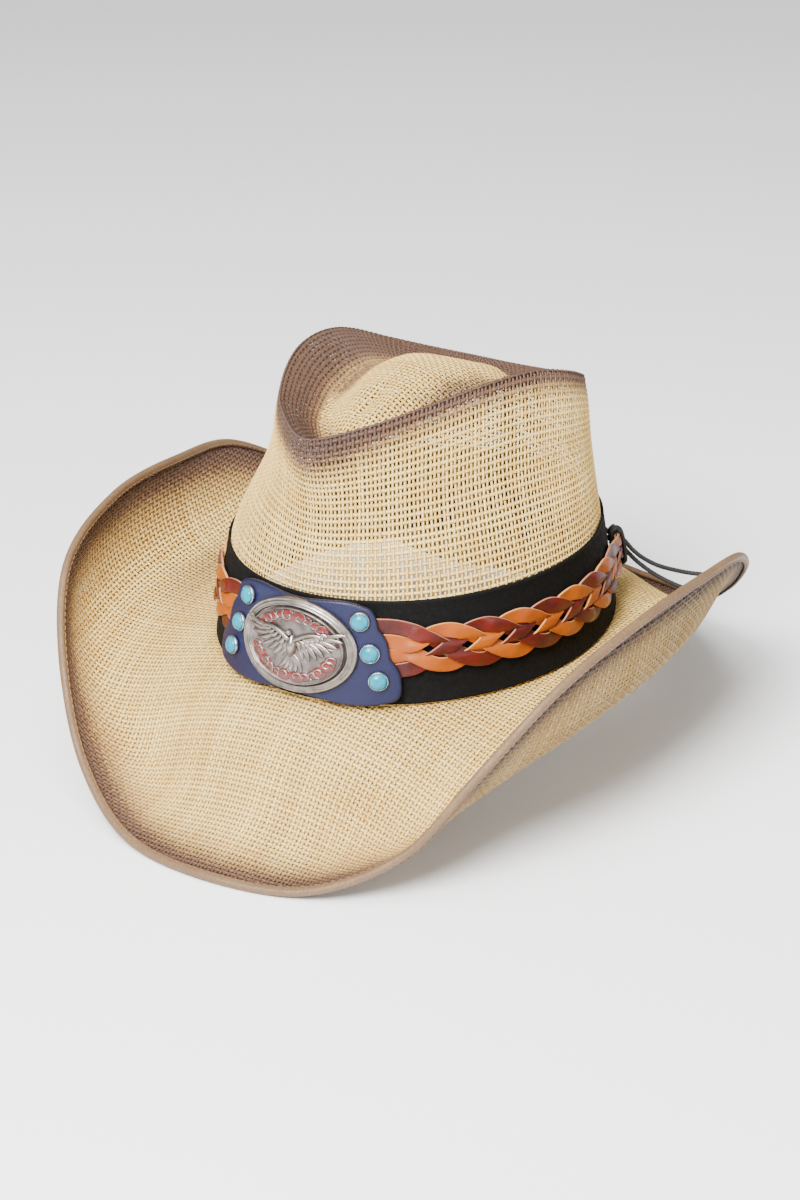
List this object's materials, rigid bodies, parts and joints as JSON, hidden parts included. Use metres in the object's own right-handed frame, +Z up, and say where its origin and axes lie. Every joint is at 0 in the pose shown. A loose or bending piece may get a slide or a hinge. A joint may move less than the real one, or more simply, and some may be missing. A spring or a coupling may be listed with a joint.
{
  "type": "cowboy hat",
  "caption": "Western straw hat with a pinched teardrop crown, a brim rolled up at the sides, and a braided leather hatband with an oval buckle and turquoise studs, tied at the back.",
  "frame": {"origin": "centre of the head opening, in the plane where the brim meets the crown wall", "axes": "+Z up through the crown; -Y to the front of the hat, over the wearer's face; +X to the wearer's left"},
  "size_m": [0.2838, 0.3479, 0.1843],
  "materials": {
    "straw": "woven paper straw, open weave, brown airbrushed shading on the ridge and the brim's edge",
    "hem_straw": "folded straw hem, sewn",
    "steel": "satin",
    "ribbon_cloth": "matt black grosgrain ribbon",
    "sweat_cloth": "soft matt woven sweatband",
    "navy_leather": "smooth, semi-matt, fine grain",
    "tan_leather": "smooth, oiled, pale cut edges",
    "oxblood_leather": "smooth, oiled, pale cut edges",
    "pewter": "antiqued cast white metal, polished high spots",
    "dark_pewter": "antiqued cast white metal with dark recesses and red enamel",
    "silver": "worn nickel silver",
    "turquoise": "glossy turquoise cabochon with faint veins",
    "black_cord": "waxed black cord"
  },
  "bodies": {
    "hat": {"crown": "straw", "brim_top_ply": "straw", "brim_under_ply": "straw", "brim_hem": "hem_straw", "brim_wire": "steel", "hat_ribbon": "ribbon_cloth", "sweatband": "sweat_cloth"},
    "hatband": {"plaque": "navy_leather", "buckle_plate": "pewter", "buckle_medallion": "dark_pewter", "buckle_bird": "pewter", "buckle_screw_left": "steel", "buckle_screw_right": "steel", "stud_setting_1": "silver", "stud_setting_2": "silver", "stud_setting_3": "silver", "stud_setting_4": "silver", "stud_setting_5": "silver", "stud_setting_6": "silver", "stud_stone_1": "turquoise", "stud_stone_2": "turquoise", "stud_stone_3": "turquoise", "stud_stone_4": "turquoise", "stud_stone_5": "turquoise", "stud_stone_6": "turquoise", "braid_left_strap_1": "tan_leather", "braid_left_strap_2": "oxblood_leather", "braid_left_strap_3": "tan_leather", "braid_left_strap_4": "oxblood_leather", "braid_right_strap_1": "tan_leather", "braid_right_strap_2": "oxblood_leather", "braid_right_strap_3": "tan_leather", "braid_right_strap_4": "oxblood_leather", "tie_wrap_left": "black_cord", "tie_wrap_right": "black_cord", "tie_knot": "black_cord", "tie_lace_upper": "black_cord", "tie_lace_lower": "black_cord", "tie_strand_upper": "black_cord", "tie_strand_lower": "black_cord", "tie_end_knot_upper": "black_cord", "tie_end_knot_lower": "black_cord"}
  },
  "joints": [
    {"name": "band_lift", "type": "slide", "parent": "hat", "child": "hatband", "axis": [0, 0, 1], "range_m": [0, 0.135]}
  ]
}
